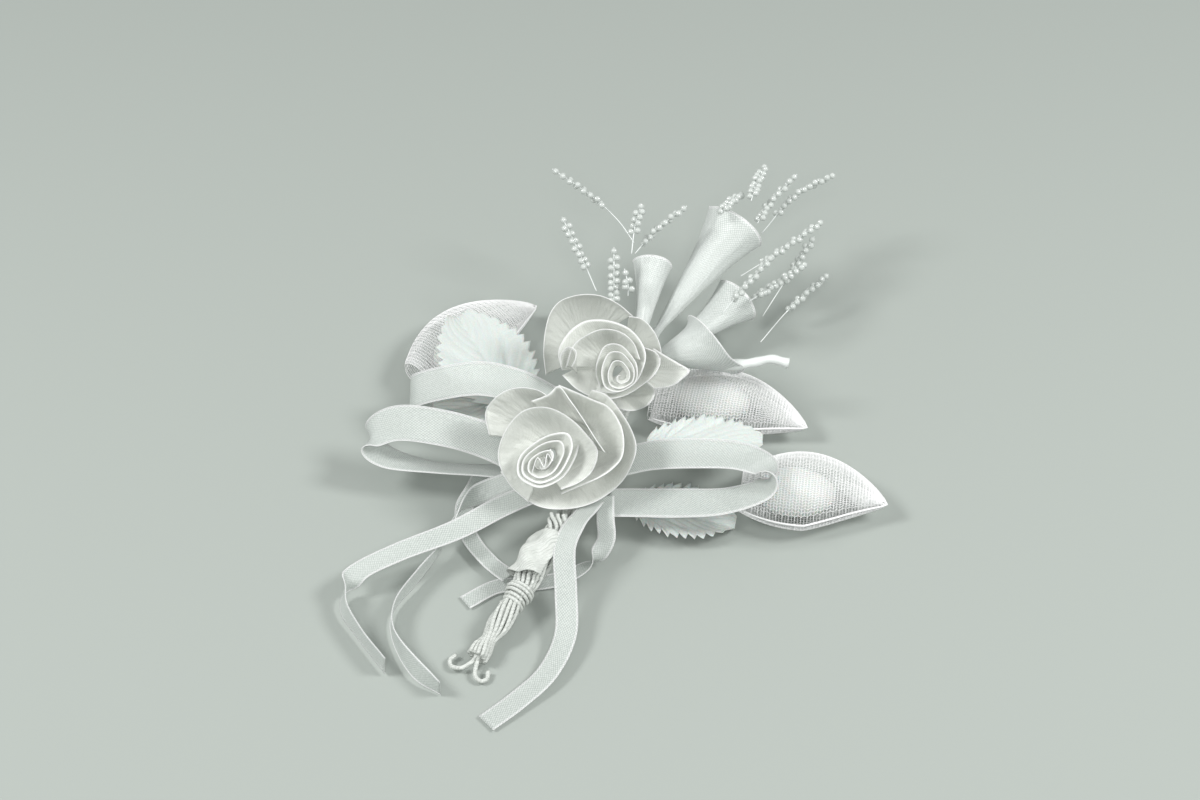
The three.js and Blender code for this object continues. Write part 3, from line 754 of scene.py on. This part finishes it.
for number, (count, route) in strands.items():
    stops = [at(*stop) for stop in route]
    line = [onCurve(stops, i / 60) for i in range(61)]
    total = pathLength(line)
    bm = bmesh.new()
    cordAlong(bm, line[::3], pearls["thread"] / 1000, 6, 1)
    rows = round(count * pearls["step"] / pearls["pitch"])
    for i in range(rows):  # the beads sit in pairs, each pair turned a little from the last
        t = 1 - (i + 0.5) * pearls["pitch"] / 1000 / total
        ahead = (onCurve(stops, t + 0.02) - onCurve(stops, t - 0.02)).normalized()
        side = ahead.cross(Vector((0, 0.7, 0.7))).normalized()
        side.rotate(Matrix.Rotation(0.35 * math.sin(i * 2.3 + number), 3, ahead))
        for hand in ((-1, 1) if i else (0,)):
            spot = onCurve(stops, t) + (side * hand * pearls["apart"] + ahead * hand * 0.3) / 1000
            verts = bmesh.ops.create_uvsphere(bm, u_segments=16, v_segments=10,
                                              radius=pearls["size"] / 2000,
                                              matrix=Matrix.Translation(spot))["verts"]
            for face in {f for v in verts for f in v.link_faces}:
                face.smooth = True
    finishPiece("pearlStrand" + str(number), bm, [pearl, clearThread],
                ["pearl_spray_%02d" % number])
print("pearls strung")

stem = {
    "wires": 12, "wire": 0.55,
    "route": [(-13.5, -33, 10.5), (-15.5, -37, 9.5), (-20.5, -45, 8.5), (-25, -54, 6.6),
              (-30.9, -64.5, 4.6), (-36, -73.5, 3)],
    "hooks": {"stem_hook_left": [(-35, -71.6, 3.2), (-37.4, -74.6, 2.4), (-40, -76, 1.8),
                                 (-42.6, -75, 1.2),
                                 (-43, -72.8, 1.2), (-41.6, -71.4, 1.4)],
              "stem_hook_right": [(-35, -72, 3.2), (-36.2, -76, 2), (-36.2, -78.6, 1.4),
                                  (-34.6, -79.8, 1),
                                  (-33.2, -78.8, 1), (-33, -76.6, 1.2)]}}
spine = [at(*stop) for stop in stem["route"]]


def acrossStem(t):
    ahead = (onCurve(spine, min(t + 0.02, 1)) - onCurve(spine, max(t - 0.02, 0))).normalized()
    side = ahead.cross(Vector((0, 0, 1))).normalized()
    return side, side.cross(ahead)


def bundleWire(number, spread=1.0):
    points = []
    for i in range(49):
        t = i / 48
        side, up = acrossStem(t)
        angle = number * 2 * math.pi / stem["wires"] + 5.5 * t
        pinch = 1 - 0.35 * math.exp(-((t - 0.63) / 0.07) ** 2) - 0.45 * math.exp(
            -((t - 0.88) / 0.05) ** 2)
        r = between(3.9, 2.3, t) * pinch * spread / 1000
        r *= 1 + 0.12 * math.sin(9 * t + number * 2.1)
        points.append(onCurve(spine, t) + side * r * math.cos(angle) + up * r * math.sin(angle))
    return points


bm = bmesh.new()
for number in range(stem["wires"]):
    cordAlong(bm, bundleWire(number), stem["wire"] / 1000, 8)
cordAlong(bm, bundleWire(0, 0), 0.0016, 10, 0, lambda t: 0.0024 - 0.0014 * t)
finishPiece("stemWires", bm, [paper], ["stem_bundle"])

for node, route in stem["hooks"].items():
    stops = [at(*stop) for stop in route]
    bm = bmesh.new()
    cordAlong(bm, [onCurve(stops, i / 24) for i in range(25)], 0.0006, 8)
    finishPiece("stemHook" + node.split("_")[2].capitalize(), bm, [paper], [node])

core = [at(*stop) for stop in ((-14.6, -35.6, 9.6), (-12, -25, 6.4), (-6, -9, 5), (1, 10, 6),
                               (7, 27, 8))]
bm = bmesh.new()
for number in range(6):
    points = []
    for i in range(25):
        t = i / 24
        angle = number * math.pi / 3 + 4 * t
        r = between(2.7, 1.4, t) / 1000
        points.append(onCurve(core, t) + Vector((math.cos(angle) * r, 0, math.sin(angle) * r)))
    cordAlong(bm, points, 0.0008, 8)
finishPiece("coreWires", bm, [paper], ["core_bundle"])

wire = [at(*stop) for stop in ((7.6, 28.6, 8.6), (10.5, 34, 11), (13.6, 38, 15))]
bm = bmesh.new()
cordAlong(bm, [onCurve(wire, i / 16) for i in range(17)], 0.00065, 8)
finishPiece("callaWire", bm, [paper], ["calla_wire_back"])

# the binding is one wire wound five times round the bundle
winding = []
for i in range(121):
    t = 0.585 + 0.1 * i / 120
    side, up = acrossStem(t)
    angle = i / 120 * 10 * math.pi
    r = (3.1 + 0.45 * math.sin(i * 0.05)) / 1000
    winding.append(onCurve(spine, t) + side * r * math.cos(angle) + up * r * math.sin(angle))
bm = bmesh.new()
cordAlong(bm, winding, 0.0005, 8)
finishPiece("binding", bm, [paper], ["binding_upper"])

wrapLine = [at(*stop) for stop in ((-15.5, -37, 9.5), (-20.5, -45, 8.5), (-25, -54, 6.6))]


def wrapPlace(u, v):
    turn = between(0.7, 3.9, u)
    grow = 4.6 + 1.3 * math.sin(5 * u + 4 * v) ** 2 + 0.4 * math.sin(11 * u - 6 * v)
    return onCurve(wrapLine, 0.09 + 0.72 * v + 0.07 * math.sin(4 * u)) + Vector((
        math.cos(turn) * grow * 0.88, -math.cos(turn) * grow * 0.47, math.sin(turn) * grow)) / 1000


bm = bmesh.new()
clothPatch(bm, wrapPlace, 48, 40, (16, 17), rims="none")
finishPiece("paperWrap", bm, [paper], ["paper_wrap"])
print("stem bound")

lights = {"left": (-0.6, -0.1, 0.7, 4.6), "right": (0.6, -0.1, 0.7, 5.0),
          "front": (0, -0.8, 0.85, 3.6)}
for name, (x, y, z, power) in lights.items():
    lamp = bpy.data.objects.new(name, bpy.data.lights.new(name, "AREA"))
    lamp.data.shape = "DISK"
    lamp.data.size = 0.28
    lamp.data.energy = power
    lamp.location = (x, y, z)
    lamp.rotation_euler = (-lamp.location).to_track_quat("-Z", "Y").to_euler()
    bpy.context.scene.collection.objects.link(lamp)

world = bpy.data.worlds.new("studio")
world.use_nodes = True
world.node_tree.nodes["Background"].inputs[0].default_value = hexColour("e6eae8")
world.node_tree.nodes["Background"].inputs[1].default_value = 0.52
bpy.context.scene.world = world
bpy.context.scene.view_settings.view_transform = "Standard"

bm = bmesh.new()
bmesh.ops.create_grid(bm, x_segments=1, y_segments=1, size=2)
mesh = bpy.data.meshes.new("floor")
bm.to_mesh(mesh)
bm.free()
floor = bpy.data.objects.new("floor", mesh)
floor.location.z = -0.0002
bpy.context.scene.collection.objects.link(floor)
mesh.materials.append(newMaterial("paleFloor", "a1a7a2", Roughness=0.75)[0])
